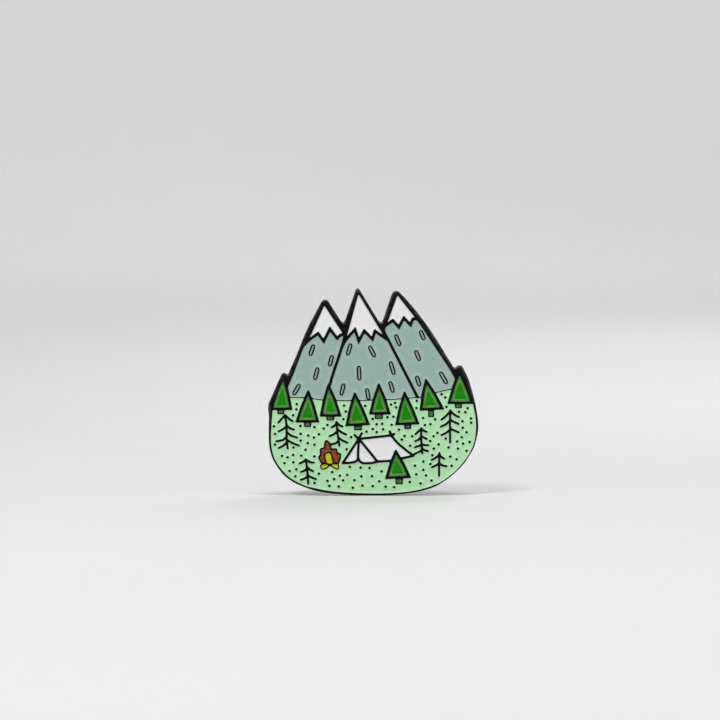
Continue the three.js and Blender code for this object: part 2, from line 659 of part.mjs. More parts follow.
// A spring leaf: a flat strip across the drum with a hole for the post, and an ear that leaves by the
// window on `side`, turns up over the dome's shoulder and ends in a curled lip.
function springLeaf(level, side) {
  const start = -2.7;
  const under = [
    [start, level],
    [DOME_RADIUS + 0.35, level],
    [DOME_RADIUS + 0.75, level + 0.25],
    [EAR_REACH - 0.25, EAR_TOP - 0.55],
    [EAR_REACH + 0.3, EAR_TOP - 0.25],
  ];
  const over = [
    [EAR_REACH + 0.2, EAR_TOP],
    [EAR_REACH - 0.45, EAR_TOP - 0.38],
    [DOME_RADIUS + 0.5, level + LEAF_SHEET + 0.2],
    [DOME_RADIUS + 0.22, level + LEAF_SHEET],
    [start, level + LEAF_SHEET],
  ];
  const shape = new THREE.Shape([...under, ...over].map(([x, y]) => new THREE.Vector2(x, y)));
  const strip = new THREE.ExtrudeGeometry(shape, { depth: LEAF_WIDTH, bevelEnabled: false });
  strip.translate(0, 0, -LEAF_WIDTH / 2);
  const hole = new THREE.CylinderGeometry(LEAF_HOLE, LEAF_HOLE, 2, POST_ROUND);
  hole.translate(LEAF_HOLE - POST_RADIUS - GRIP_CLEARANCE, level, 0);
  if (side < 0) [strip, hole].forEach((geometry) => geometry.rotateY(Math.PI));
  return solid(strip).subtract(solid(hole));
}

function fastening(side, x) {
  const group = new THREE.Group();
  group.position.set(x, 0, POST_Z);
  group.add(mesh(`post_${side}`, solid(post()), FINISH.nickel()));
  const clutch = new THREE.Group();
  clutch.position.y = CLOTH;
  clutch.add(mesh(`clutch_cap_${side}`, solid(clutchCap()), FINISH.nickel()));
  clutch.add(mesh(`clutch_dome_${side}`, clutchDome(), FINISH.nickel()));
  clutch.add(mesh(`spring_leaf_${side}_lower`, springLeaf(LEAF_LEVELS[0], 1), FINISH.nickel()));
  clutch.add(mesh(`spring_leaf_${side}_upper`, springLeaf(LEAF_LEVELS[1], -1), FINISH.nickel()));
  group.add(clutch);
  return group;
}

const pin = new THREE.Group();
pin.add(struckBase(), ...enamelFills());
pin.add(fastening('left', -POST_X), fastening('right', POST_X));

export default pin;
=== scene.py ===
"""Looks of the enamel pin: a struck black plate with soft enamel fills, soldered posts and butterfly
clutches. Outlines come from the CAD nodes; this script rounds them, refills them with fine surfaces
and gives every piece its material. Lengths are in millimetres until a mesh is made."""

import json
import math

import bpy
import numpy as np
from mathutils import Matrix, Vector
from mathutils.geometry import delaunay_2d_cdt
from mathutils.kdtree import KDTree


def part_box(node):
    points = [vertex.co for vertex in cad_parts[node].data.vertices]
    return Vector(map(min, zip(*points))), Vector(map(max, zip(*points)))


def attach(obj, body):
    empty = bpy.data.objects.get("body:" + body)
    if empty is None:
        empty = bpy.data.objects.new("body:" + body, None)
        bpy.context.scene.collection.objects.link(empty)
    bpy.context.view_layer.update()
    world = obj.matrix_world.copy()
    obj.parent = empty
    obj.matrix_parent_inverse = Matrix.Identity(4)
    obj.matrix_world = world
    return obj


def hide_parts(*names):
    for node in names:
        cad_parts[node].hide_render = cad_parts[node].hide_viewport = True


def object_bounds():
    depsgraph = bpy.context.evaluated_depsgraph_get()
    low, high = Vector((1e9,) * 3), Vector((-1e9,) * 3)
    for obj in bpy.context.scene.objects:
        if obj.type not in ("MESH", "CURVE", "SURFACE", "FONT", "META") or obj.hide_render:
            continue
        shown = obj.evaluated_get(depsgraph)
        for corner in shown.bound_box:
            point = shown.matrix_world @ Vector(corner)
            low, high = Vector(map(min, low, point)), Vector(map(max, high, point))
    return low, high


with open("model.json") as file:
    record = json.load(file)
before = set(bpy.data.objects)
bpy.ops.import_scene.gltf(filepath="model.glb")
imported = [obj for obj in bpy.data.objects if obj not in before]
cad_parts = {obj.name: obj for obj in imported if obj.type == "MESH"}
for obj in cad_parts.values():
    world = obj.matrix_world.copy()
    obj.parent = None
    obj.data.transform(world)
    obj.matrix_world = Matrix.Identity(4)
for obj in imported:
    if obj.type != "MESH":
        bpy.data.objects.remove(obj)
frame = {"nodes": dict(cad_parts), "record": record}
cad_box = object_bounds()
nodes = frame["nodes"]
body_of = {n: b for b, members in frame["record"]["behaviour"]["bodies"].items() for n in members}
slot_of = {s["node"]: s["material_slot"] for s in frame["record"]["subparts"]}

MM = 0.001
DOT_RADIUS = 0.2
LONGEST_DOT = 1.2  # an outline shorter than this is a dot
SPECK = 0.3  # and one shorter than this is left over from rounding
LINE_DROP = 0.06  # how far a line's top falls away at its edge
LINE_ROUND = 0.1
RIM_DROP = 0.2  # the same at the plate's outer edge
RIM_ROUND = 0.32
BACK_ROUND = 0.12
LINE_CORNER = 0.1  # how much of a sharp corner is cut from a line
PEAK_CORNER = 0.3  # the same at the plate's outer corners
NOTCH_CORNER = 0.12  # the same where the plate's edge turns inward
SIDE_STEP = 0.3  # longest side of an outline
SIDE_LEAST = 0.045  # shortest side of the plate's outer edge
NARROW, BROAD = 0.38, 0.68  # rim widths between which its edge goes from crisp to well rounded
FILL_GAP = 0.015  # an enamel's brim stays this far below the line's edge
BED_GAP = 0.01  # and its bed this far above the cell's floor
LEVEL_TOLERANCE = 0.004  # how far a face may lie from the depth asked for
WIRE_RADIUS = 0.575
WIRE_HOLE = 0.85
RING_INNER, RING_OUTER, RING_DEPTH = 1.45, 1.65, 0.08
DRUM_RADIUS = 3.275
WINDOW_HALF_WIDTH = 1.9
WINDOW_HEIGHTS = (1.1, 2.32)
LEAF_LEVELS = (1.2, 1.75)
LEAF_HALF_WIDTH = 1.6
LEAF_CLEARANCE = 0.015  # from the wire, at rest


# ---- outlines -------------------------------------------------------------------------------------


def corners_of(node):
    """The corners of a CAD node in millimetres."""
    return np.array([v.co for v in nodes[node].data.vertices]) / MM


def face_outlines(node, depth):
    """Closed outlines, [x, z], round the faces of a node that lie `depth` in front of the back plane.
    The face is on the left of its outline, seen from the front."""
    corners = corners_of(node)
    sides = set()
    for face in nodes[node].data.polygons:
        at = corners[list(face.vertices)]
        if np.abs(at[:, 1] + depth).max() > LEVEL_TOLERANCE:
            continue
        keys = [(round(float(x), 4), round(float(z), 4)) for x, _, z in at]
        if len(set(keys)) == 3:  # a sliver that has closed up has no area
            sides.update(zip(keys, keys[1:] + keys[:1]))
    following = {}
    for a, b in sorted(sides):
        if (b, a) not in sides and a != b:
            following.setdefault(a, []).append(b)
    outlines = []
    while following:
        start = min(following)
        outline, here = [], start
        while here in following:
            outline.append(here)
            ahead = following[here].pop()
            if not following[here]:
                del following[here]
            here = ahead
        outlines.append(np.array(outline))
    return outlines


def unit(v):
    return v / np.maximum(np.linalg.norm(v, axis=-1, keepdims=True), 1e-12)


def turns(outline):
    """How far the outline turns at each point, in radians; left is positive."""
    into = unit(outline - np.roll(outline, 1, 0))
    out = unit(np.roll(outline, -1, 0) - outline)
    cross = into[:, 0] * out[:, 1] - into[:, 1] * out[:, 0]
    return np.arctan2(cross, (into * out).sum(1))


def cleaned(outline):
    """Without points that are on a straight side or almost on their neighbour."""
    outline = outline[np.linalg.norm(outline - np.roll(outline, 1, 0), axis=1) > 0.012]
    return outline[np.abs(turns(outline)) > 0.012]


def softened(outline, corner, rounds=3, inward=None):
    """Corners cut again and again: a sharp one loses `corner` each way, or `inward` if it turns right,
    and a gentle bend loses a share of its sides."""
    for i in range(rounds):
        before = np.roll(outline, 1, 0) - outline
        after = np.roll(outline, -1, 0) - outline
        short = np.minimum(np.linalg.norm(before, axis=1), np.linalg.norm(after, axis=1))
        turn = np.abs(turns(outline))
        reach = 0.27 * short
        if i == 0:
            most = np.where(turns(outline) < 0, corner if inward is None else inward, corner)
            reach = np.where(turn > 0.5, np.minimum(0.42 * short, most), reach)
        cut = turn > (0.035 if i == 0 else 0.09)
        points = []
        for p, b, a, r, do in zip(outline, unit(before), unit(after), reach, cut):
            points += [p + b * r, p + a * r] if do else [p]
        outline = np.array(points)
    return outline


def stepped(outline, step, least=0.0):
    """With points added so that no side is longer than `step`, and without sides under `least`."""
    kept = [outline[0]]
    for p in outline[1:]:
        if np.linalg.norm(p - kept[-1]) >= least:
            kept.append(p)
    outline = np.array(kept)
    ahead = np.roll(outline, -1, 0)
    count = np.ceil(np.linalg.norm(ahead - outline, axis=1) / step).astype(int)
    return np.array(
        [p + (q - p) * k / n for p, q, n in zip(outline, ahead, count) for k in range(n)]
    )


def circle(centre, radius, sides, start=0.0):
    turn = start + np.arange(sides) * 2 * math.pi / sides
    return np.array(centre) + radius * np.stack([np.cos(turn), np.sin(turn)], 1)


def beside(outline, distance):
    """The outline moved to its left."""
    into = unit(outline - np.roll(outline, 1, 0))
    out = unit(np.roll(outline, -1, 0) - outline)
    along = unit(into + out)
    lean = np.maximum((along * out).sum(1, keepdims=True), 0.75)
    return outline + np.stack([-along[:, 1], along[:, 0]], 1) * distance / lean


def length_round(outline):
    return np.linalg.norm(outline - np.roll(outline, 1, 0), axis=1).sum()


class Walls:
    """Distance to the nearest of several outlines."""

    def __init__(self, outlines, spacing=0.07):
        self.start = np.concatenate(outlines)
        self.end = np.concatenate([np.roll(o, -1, 0) for o in outlines])
        count = np.ceil(np.linalg.norm(self.end - self.start, axis=1) / spacing).astype(int)
        self.side = np.repeat(np.arange(len(self.start)), count)
        share = np.concatenate([(np.arange(n) + 0.5) / n for n in count])[:, None]
        samples = self.start[self.side] * (1 - share) + self.end[self.side] * share
        self.tree = KDTree(len(samples))
        for i, (x, z) in enumerate(samples):
            self.tree.insert((x, z, 0), i)
        self.tree.balance()

    def distance(self, points):
        near = [[i for _, i, _ in self.tree.find_n((x, z, 0), 4)] for x, z in points]
        side = self.side[np.array(near)]
        a, b = self.start[side], self.end[side]
        p = np.asarray(points)[:, None]
        share = ((p - a) * (b - a)).sum(-1) / np.maximum(((b - a) ** 2).sum(-1), 1e-12)
        foot = a + (b - a) * np.clip(share, 0, 1)[..., None]
        return np.linalg.norm(foot - p, axis=-1).min(1)


# ---- triangles between outlines -------------------------------------------------------------------


class Cut:
    """The plane cut up along closed outlines and triangulated. A triangle's corners are numbers of
    points; the outlines' own points come first. `region` says which patch each triangle is in, and
    `level` how many outlines lie round each patch."""

    def __init__(self, outlines, extra=()):
        count = sum(len(o) for o in outlines)
        far = np.array([[-99, -99], [99, -99], [99, 99], [-99, 99]], float)
        self.points = np.concatenate([*outlines, *extra, far])
        self.sides = []
        first = 0
        for o in outlines:
            ids = list(range(first, first + len(o)))
            self.sides += list(zip(ids, ids[1:] + ids[:1]))
            first += len(o)
        self.outline_points = count
        made = delaunay_2d_cdt([Vector(p) for p in self.points], self.sides, [], 0, 1e-6)
        original = [ids[0] for ids in made[3]]
        self.triangles = [tuple(original[i] for i in t) for t in made[2]]
        self.find_regions()

    def find_regions(self):
        wall = {frozenset(s) for s in self.sides}
        owners = {}
        for i, t in enumerate(self.triangles):
            for side in zip(t, t[1:] + t[:1]):
                owners.setdefault(frozenset(side), []).append(i)
        self.region = [-1] * len(self.triangles)
        self.level = []
        outside = next(i for i, t in enumerate(self.triangles) if max(t) >= len(self.points) - 4)
        edge = [(outside, 0)]
        while edge:
            first, level = edge.pop()
            if self.region[first] >= 0:
                continue
            number = len(self.level)
            self.level.append(level)
            self.region[first] = number
            stack = [first]
            while stack:
                here = stack.pop()
                t = self.triangles[here]
                for side in map(frozenset, zip(t, t[1:] + t[:1])):
                    for other in owners[side]:
                        if self.region[other] >= 0:
                            continue
                        if side in wall:
                            edge.append((other, level + 1))
                        else:
                            self.region[other] = number
                            stack.append(other)

    def of_region(self, number):
        return [t for t, r in zip(self.triangles, self.region) if r == number]

    def region_at(self, x, z):
        corners = self.points[np.array(self.triangles)]
        gaps = np.array([x, z]) - corners
        sides = np.roll(corners, -1, 1) - corners
        signs = sides[..., 0] * gaps[..., 1] - sides[..., 1] * gaps[..., 0]
        return self.region[int(np.argmax(signs.min(1) >= 0))]


# ---- objects --------------------------------------------------------------------------------------


def made_of(name, points, faces, material, sharp=35.0, fields=None):
    """A mesh object from points in millimetres; `fields` are numbers per point for the material."""
    mesh = bpy.data.meshes.new(name)
    mesh.from_pydata([tuple(np.asarray(p, float) * MM) for p in points], [], faces)
    mesh.validate()
    mesh.polygons.foreach_set("use_smooth", [True] * len(mesh.polygons))
    mesh.set_sharp_from_angle(angle=math.radians(sharp))
    for field, values in (fields or {}).items():
        layer = mesh.attributes.new(field, "FLOAT", "POINT")
        layer.data.foreach_set("value", np.asarray(values, np.float32))
    mesh.materials.append(material)
    made = bpy.data.objects.new(name, mesh)
    bpy.context.scene.collection.objects.link(made)
    return made


def settle(made, node):
    """The piece stands for a CAD node and moves with its body."""
    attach(made, body_of[node])
    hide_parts(node)
    return made


# ---- materials ------------------------------------------------------------------------------------


class Nodes:
    """A node material under construction."""

    def __init__(self, name):
        self.material = bpy.data.materials.new(name)
        self.material.use_nodes = True
        self.tree = self.material.node_tree
        self.shader = next(n for n in self.tree.nodes if n.type == "BSDF_PRINCIPLED")
        self.place = self.add("ShaderNodeTexCoord").outputs["Object"]

    def add(self, kind, **settings):
        node = self.tree.nodes.new(kind)
        for key, value in settings.items():
            setattr(node, key, value)
        return node

    def link(self, source, target):
        self.tree.links.new(source, target)

    def set(self, **values):
        for key, value in values.items():
            self.shader.inputs[key.replace("_", " ")].default_value = value

    def noise(self, scale, detail=2.0, rough=0.5):
        """Noise in the object's own place; the scale is in features per millimetre."""
        made = self.add("ShaderNodeTexNoise")
        self.link(self.place, made.inputs["Vector"])
        made.inputs["Scale"].default_value = scale / MM
        made.inputs["Detail"].default_value = detail
        made.inputs["Roughness"].default_value = rough
        return made.outputs["Fac"]

    def field(self, name):
        return self.add("ShaderNodeAttribute", attribute_name=name).outputs["Fac"]

    def spread(self, value, low, high, to_low=0.0, to_high=1.0):
        made = self.add("ShaderNodeMapRange", interpolation_type="SMOOTHSTEP")
        self.link(value, made.inputs["Value"])
        for key, number in zip(
            ("From Min", "From Max", "To Min", "To Max"), (low, high, to_low, to_high)
        ):
            made.inputs[key].default_value = number
        return made.outputs["Result"]

    def mix(self, share, first, second):
        """Colours or links mixed by a link."""
        made = self.add("ShaderNodeMix", data_type="RGBA")
        self.link(share, made.inputs["Factor"])
        for value, socket in ((first, made.inputs[6]), (second, made.inputs[7])):
            if isinstance(value, tuple):
                socket.default_value = value
            else:
                self.link(value, socket)
        return made.outputs[2]

    def times(self, first, second):
        made = self.add("ShaderNodeMath", operation="MULTIPLY")
        for value, socket in zip((first, second), made.inputs):
            if isinstance(value, (int, float)):
                socket.default_value = value
            else:
                self.link(value, socket)
        return made.outputs[0]

    def bump(self, height, distance, strength=1.0):
        made = self.add("ShaderNodeBump")
        made.inputs["Distance"].default_value = distance * MM
        made.inputs["Strength"].default_value = strength
        self.link(height, made.inputs["Height"])
        self.link(made.outputs["Normal"], self.shader.inputs["Normal"])


def linear(code):
    """A #rrggbb colour as scene-linear numbers."""
    channels = [int(code[i : i + 2], 16) / 255 for i in (1, 3, 5)]
    light = [c / 12.92 if c <= 0.04045 else ((c + 0.055) / 1.055) ** 2.4 for c in channels]
    return (*light, 1.0)


def enamel(name, middle, painted_halo, painted_band, speck=0.02, reach=(0.08, 0.26, 0.36, 0.6), shine=0.3):
    """Enamel: `middle` in the open, `painted_band` where the fill climbs to a line and `painted_halo`
    between the two, with a faint mottle of settled pigment. `painted_band` and `painted_halo` are
    painted reflection and shade of the meniscus, and `painted_halo` is broken into patches. `reach`
    says how far from a line each gives way to the next, and `shine` how much the surface reflects."""
    n = Nodes(name)
    depth = n.field("depth")
    patchy = n.spread(n.noise(0.8, 3.0), 0.25, 0.75, 0.35, 1.0)
    # `painted_halo` and `painted_band` are painted meniscus reflection and shade, laid on by distance
    # from the line
    open_share = n.times(n.spread(depth, reach[2], reach[3], 1.0, 0.0), patchy)
    shade = n.mix(open_share, linear(middle), linear(painted_halo))
    shade = n.mix(n.spread(depth, reach[0], reach[1], 1.0, 0.0), shade, linear(painted_band))
    mottle = n.spread(n.noise(1.6, 4.0, 0.6), 0.35, 0.65, 1 - speck, 1 + speck)
    tint = n.add("ShaderNodeMix", data_type="RGBA", blend_type="MULTIPLY")
    tint.inputs["Factor"].default_value = 1.0
    n.link(shade, tint.inputs[6])
    grey = n.add("ShaderNodeCombineColor")
    for socket in grey.inputs[:3]:
        n.link(mottle, socket)
    n.link(grey.outputs[0], tint.inputs[7])
    n.link(tint.outputs[2], n.shader.inputs["Base Color"])
    n.link(n.spread(n.noise(0.7, 3.0), 0.3, 0.7, 0.1, 0.2), n.shader.inputs["Roughness"])
    n.set(IOR=1.5, Specular_IOR_Level=shine)
    n.bump(n.noise(0.9, 2.0), 0.012)
    return n.material


def black_metal():
    """Dark electroplate: a polished front with a painted brown-grey highlight, partly wear, on its
    rounded outer edge, and a sandblasted back.
    """
    n = Nodes("black_metal")
    blast = n.field("back")
    # painted highlight, partly wear: a brown-grey sheen laid along the rounded outer edge by the `rim`
    # field, patchy
    wear_and_sheen = n.times(n.field("rim"), n.spread(n.noise(0.9, 5.0, 0.65), 0.3, 0.62))
    grains = n.noise(5.0, 3.0, 0.7)
    blasted = n.mix(n.spread(grains, 0.35, 0.65), linear("#333235"), linear("#4c4b4f"))
    plating = n.mix(blast, linear("#19171a"), blasted)
    n.link(n.mix(wear_and_sheen, plating, linear("#78706b")), n.shader.inputs["Base Color"])
    polish = n.spread(n.noise(2.2, 4.0), 0.3, 0.7, 0.22, 0.38)
    rough = n.add("ShaderNodeMix", data_type="FLOAT")
    n.link(blast, rough.inputs["Factor"])
    n.link(polish, rough.inputs[2])
    rough.inputs[3].default_value = 0.5
    n.link(rough.outputs[0], n.shader.inputs["Roughness"])
    n.set(Metallic=1.0)
    n.bump(n.times(grains, n.spread(blast, 0.0, 1.0, 0.1, 1.0)), 0.07)
    return n.material


def nickel(name, colour, tint, grain, rough):
    """Bright plating with faint clouding and fine marks from the stamping or drawing."""
    n = Nodes(name)
    cloud = n.spread(n.noise(0.45, 4.0, 0.6), 0.35, 0.7)
    n.link(n.mix(cloud, linear(colour), linear(tint)), n.shader.inputs["Base Color"])
    n.link(n.spread(n.noise(3.0, 4.0, 0.7), 0.3, 0.7, *rough), n.shader.inputs["Roughness"])
    n.set(Metallic=1.0)
    n.bump(n.noise(grain, 3.0, 0.6), 0.008)
    return n.material


def solder_or_wire():
    """Plated wire above, dull tinned solder low down on the pad."""
    n = Nodes("post_metal")
    height = n.add("ShaderNodeSeparateXYZ")
    n.link(n.place, height.inputs[0])
    low = n.spread(height.outputs["Y"], 0.45 * MM, 1.0 * MM, 1.0, 0.0)
    n.link(n.mix(low, linear("#c6c7c5"), linear("#9c9d9c")), n.shader.inputs["Base Color"])
    dull = n.add("ShaderNodeMix", data_type="FLOAT")
    n.link(low, dull.inputs["Factor"])
    n.link(n.spread(n.noise(3.0, 3.0), 0.3, 0.7, 0.2, 0.3), dull.inputs[2])
    n.link(n.spread(n.noise(1.6, 4.0), 0.3, 0.7, 0.38, 0.55), dull.inputs[3])
    n.link(dull.outputs[0], n.shader.inputs["Roughness"])
    n.set(Metallic=1.0)
    n.bump(n.times(n.noise(2.0, 4.0, 0.65), n.spread(low, 0.0, 1.0, 0.08, 1.0)), 0.03)
    return n.material


# in each enamel the second and third colours are painted meniscus reflection and shade
finishes = {
    "black_metal": black_metal(),
    "white_enamel": enamel("white_enamel", "#eeeeef", "#f4f4f5", "#e2e4e5", 0.01),
    "sage_enamel": enamel("sage_enamel", "#99b6ac", "#a6c0b7", "#a2bcb3"),
    "pale_enamel": enamel("pale_enamel", "#a9b9b1", "#a9b9b1", "#93a59b", 0.03, (0.03, 0.1, 0.2, 0.3)),
    "mint_enamel": enamel("mint_enamel", "#b2e6b1", "#bcebba", "#bbe8ba"),
    "green_enamel": enamel(
        "green_enamel", "#188300", "#6ab04c", "#427c37", 0.05, (0.08, 0.25, 0.27, 0.4), 0.15
    ),
    "bark_enamel": enamel("bark_enamel", "#4c7840", "#4c7840", "#3c5f38", 0.08, (0.0, 0.2, 0.2, 0.4)),
    "rust_enamel": enamel(
        "rust_enamel", "#a04a24", "#8f4630", "#6e3a2c", 0.2, (0.03, 0.16, 0.2, 0.4), 0.2
    ),
    "yellow_enamel": enamel(
        "yellow_enamel", "#cfd000", "#cfcf10", "#a9ab10", 0.06, (0.0, 0.1, 0.1, 0.25), 0.2
    ),
    "post_metal": solder_or_wire(),
    "clutch_metal": nickel("clutch_metal", "#cfcfcc", "#bdbdb9", 5.0, (0.12, 0.24)),
}


# ---- plate and enamel -----------------------------------------------------------------------------

plate_low, plate_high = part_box("struck_base")
top = -plate_low.y / MM
floor = -max(c for c in np.unique(np.round(corners_of("struck_base")[:, 1], 3)) if c < -0.5)
found = [cleaned(o) for o in face_outlines("struck_base", top)]
found = [o for o in found if len(o) > 2 and length_round(o) > SPECK]
outer = max(range(len(found)), key=lambda i: np.ptp(found[i], axis=0).sum())
outlines = []
for index, outline in enumerate(found):
    if length_round(outline) < LONGEST_DOT:
        outlines.append(circle(outline.mean(0), DOT_RADIUS, 12))
    else:
        whole = index == outer
        corner, inward = (PEAK_CORNER, NOTCH_CORNER) if whole else (LINE_CORNER, LINE_CORNER)
        soft = softened(outline, corner, 3, inward)
        outlines.append(stepped(soft, SIDE_STEP, SIDE_LEAST if whole else 0.0))
outlines.insert(0, outlines.pop(outer))
rim_walls = Walls(outlines[:1])
walls = Walls(outlines)


def clear_of_walls(points, distance, against):
    return points[against.distance(points) > 0.93 * distance]


extra = []
for distance in (0.035, 0.085):
    for outline in outlines:
        extra.append(clear_of_walls(beside(outline, distance), distance, walls))
for distance in (0.16, 0.24, 0.32):
    extra.append(clear_of_walls(beside(outlines[0], distance), 0.1, walls))
for distance in (0.04, 0.1, 0.19, 0.32, 0.5):
    for outline in outlines[1:]:
        extra.append(clear_of_walls(beside(outline, -distance), distance, walls))
ends = ((plate_low.x, plate_high.x), (plate_low.z, plate_high.z))
spans = [np.arange(math.floor(low / MM), math.ceil(high / MM), 0.45) for low, high in ends]
grid = np.stack(np.meshgrid(*spans), -1).reshape(-1, 2)
extra.append(clear_of_walls(grid, 0.6, walls))

fine = Cut(outlines, extra)
coarse = Cut(outlines)
depth = walls.distance(fine.points)
depth[: fine.outline_points] = 0
rim_depth = rim_walls.distance(fine.points)
rim_depth[: len(outlines[0])] = 0
rim_width = rim_depth + Walls(outlines[1:]).distance(fine.points)
broad = np.clip((rim_width - NARROW) / (BROAD - NARROW), 0, 1)


def front_of_plate():
    drop = LINE_DROP * np.clip(1 - depth / LINE_ROUND, 0, 1) ** 2
    rim_round = RIM_ROUND * (0.4 + 0.6 * broad)
    rim_drop = RIM_DROP * (0.45 + 0.55 * broad) * np.clip(1 - rim_depth / rim_round, 0, 1) ** 2
    return top - np.maximum(drop, rim_drop)


def plate():
    """The whole struck plate as one skin: front, cell walls and floors, sides, back and ring."""
    heights = front_of_plate()
    points, faces, number = [], [], {}
    rim, back = [], []

    def point(key, x, y, z, wear_and_sheen=0.0, blast=0.0):
        if key not in number:
            number[key] = len(points)
            points.append((x, y, z))
            rim.append(wear_and_sheen)
            back.append(blast)
        return number[key]

    def on_top(i):
        x, z = fine.points[i]
        # the painted edge highlight, partly wear, is full on a broad rim and faint on a thin one
        wear_and_sheen = max(0.0, 1 - rim_depth[i] / (1.1 * RIM_ROUND)) * (0.12 + 0.88 * broad[i])
        return point(("top", i), x, -heights[i], z, wear_and_sheen)

    def on_floor(i):
        x, z = coarse.points[i]
        return point(("floor", i), x, -floor, z)

    for t, region in zip(fine.triangles, fine.region):
        if fine.level[region] % 2:
            faces.append([on_top(i) for i in t])
    for t, region in zip(coarse.triangles, coarse.region):
        if coarse.level[region] and coarse.level[region] % 2 == 0:
            faces.append([on_floor(i) for i in t])
    count = len(outlines[0])
    for a, b in fine.sides:
        if a >= count:
            faces.append([on_top(b), on_top(a), on_floor(a), on_floor(b)])

    inner, ring = circle((0, 0), RING_INNER, 48), circle((0, 0), RING_OUTER, 48)
    # rows down the side: inset from the outline, height above the back, and the painted edge highlight
    # (partly wear) they carry
    rows = [(0.0, 0.6, 0.12), (0.0, BACK_ROUND, 0.14), (0.03, 0.045, 0.2), (BACK_ROUND, 0.0, 0.0)]
    skirt = [[on_top(i) for i in range(count)]]
    for k, (inset, y, wear_and_sheen) in enumerate(rows):
        moved = beside(outlines[0], inset) if inset else outlines[0]
        blast = float(k > 1)
        skirt.append(
            [point(("side", k, i), x, -y, z, wear_and_sheen, blast) for i, (x, z) in enumerate(moved)]
        )
    for above, below in zip(skirt, skirt[1:]):
        for i in range(count):
            j = (i + 1) % count
            faces.append([above[j], above[i], below[i], below[j]])

    behind = Cut([beside(outlines[0], BACK_ROUND), ring, inner])
    last = len(rows) - 1

    def on_back(i, sunk=False):
        x, z = behind.points[i]
        if i < count:
            return number[("side", last, i)]
        return point(("sunk" if sunk else "flat", i), x, -RING_DEPTH if sunk else 0.0, z, 0.0, 1.0)

    for t, region in zip(behind.triangles, behind.region):
        level = behind.level[region]
        if level:
            faces.append([on_back(i, level == 2) for i in reversed(t)])
    for a, b in behind.sides[count:]:
        outside = a < count + len(ring)
        near = [on_back(a), on_back(b)]
        deep = [on_back(a, True), on_back(b, True)]
        quad = [near[0], near[1], deep[1], deep[0]]
        faces.append(quad if outside else quad[::-1])
    made = made_of("plate", points, faces, finishes["black_metal"], 50, {"rim": rim, "back": back})
    return settle(made, "struck_base")


def fill(node):
    """One enamel fill: it meets the lines just under their tops and sinks away from them."""
    corners = corners_of(node)
    faces = [
        corners[list(f.vertices)]
        for f in nodes[node].data.polygons
        if np.ptp(corners[list(f.vertices)][:, 1]) < LEVEL_TOLERANCE and f.normal.y < -0.9
    ]
    sizes = [np.linalg.norm(np.cross(f[1] - f[0], f[2] - f[0])) for f in faces]
    x, _, z = faces[int(np.argmax(sizes))].mean(0)
    top_faces = fine.of_region(fine.region_at(x, z))
    low_faces = coarse.of_region(coarse.region_at(x, z))
    kind = slot_of[node]
    sink = {"green_enamel": 0.17, "mint_enamel": 0.13, "sage_enamel": 0.13}.get(kind, 0.11)
    reach = {"green_enamel": 0.36}.get(kind, 0.26)
    brim = top - LINE_DROP - FILL_GAP
    used = sorted({i for t in top_faces for i in t})
    number = {i: k for k, i in enumerate(used)}
    d = depth[used]
    height = brim - sink * (1 - np.exp(-d / (0.5 * reach)))
    points = [(fine.points[i][0], -h, fine.points[i][1]) for i, h in zip(used, height)]
    made_faces = [[number[i] for i in t] for t in top_faces]
    bed = {}
    for i in sorted({i for t in low_faces for i in t}):
        bed[i] = len(points)
        points.append((coarse.points[i][0], -(floor + BED_GAP), coarse.points[i][1]))
    made_faces += [[bed[i] for i in reversed(t)] for t in low_faces]
    for a, b in fine.sides:
        if a in bed and b in bed:
            made_faces.append([number[a], number[b], bed[b], bed[a]])
    field = np.concatenate([d, np.zeros(len(bed))])
    made = made_of(f"{node}_fill", points, made_faces, finishes[kind], 60, {"depth": field})
    return settle(made, node)


plate()
for node in nodes:
    if slot_of[node].endswith("enamel"):
        fill(node)


# ---- posts and clutches ---------------------------------------------------------------------------


def eased(points, corner, rounds=3):
    """An open line with its corners rounded."""
    line = np.array(points, float)
    for i in range(rounds):
        before, here, after = line[:-2], line[1:-1], line[2:]
        short = np.minimum(
            np.linalg.norm(before - here, axis=1), np.linalg.norm(after - here, axis=1)
        )[:, None]
        reach = np.minimum(0.45 * short, corner) if i == 0 else 0.27 * short
        ends = [here + unit(before - here) * reach, here + unit(after - here) * reach]
        line = np.concatenate([line[:1], np.stack(ends, 1).reshape(-1, 2), line[-1:]])
    return line


def lathe(name, profile, centre, material, segments=96, closed=False):
    """A turned piece about the line through `centre` along Y. The profile is (radius, height)."""
    points, faces, rows = [], [], []
    for r, y in profile:
        if r < 1e-6:
            rows.append([len(points)] * segments)
            points.append((centre[0], centre[1] + y, centre[2]))
            continue
        rows.append(list(range(len(points), len(points) + segments)))
        points += [
            (centre[0] + x, centre[1] + y, centre[2] + z) for x, z in circle((0, 0), r, segments)
        ]
    pairs = list(zip(rows, rows[1:] + rows[:1])) if closed else list(zip(rows, rows[1:]))
    for near, far in pairs:
        for i in range(segments):
            j = (i + 1) % segments
            ring = [near[i], far[i], far[j], near[j]]
            faces.append(list(dict.fromkeys(ring)))
    return made_of(name, points, faces, material, 40)


def post(node, x, z):
    low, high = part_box(node)
    tip = high.y / MM
    profile = eased(
        [
            (0, 0.0),
            (2.42, 0.0),
            (2.5, 0.1),
            (2.5, 0.3),
            (2.35, 0.42),
            (1.25, 0.42),
            (0.82, 0.55),
            (0.6, 0.95),
            (WIRE_RADIUS, 1.3),
            (WIRE_RADIUS, tip - 2.1),
            (0.47, tip - 1.95),
            (0.47, tip - 1.65),
            (WIRE_RADIUS, tip - 1.5),
            (WIRE_RADIUS, tip - 0.9),
            (0.12, tip - 0.08),
            (0.0, tip),
        ],
        0.07,
    )
    settle(lathe(f"{node}_turned", profile, (x, 0, z), finishes["post_metal"], 64), node)


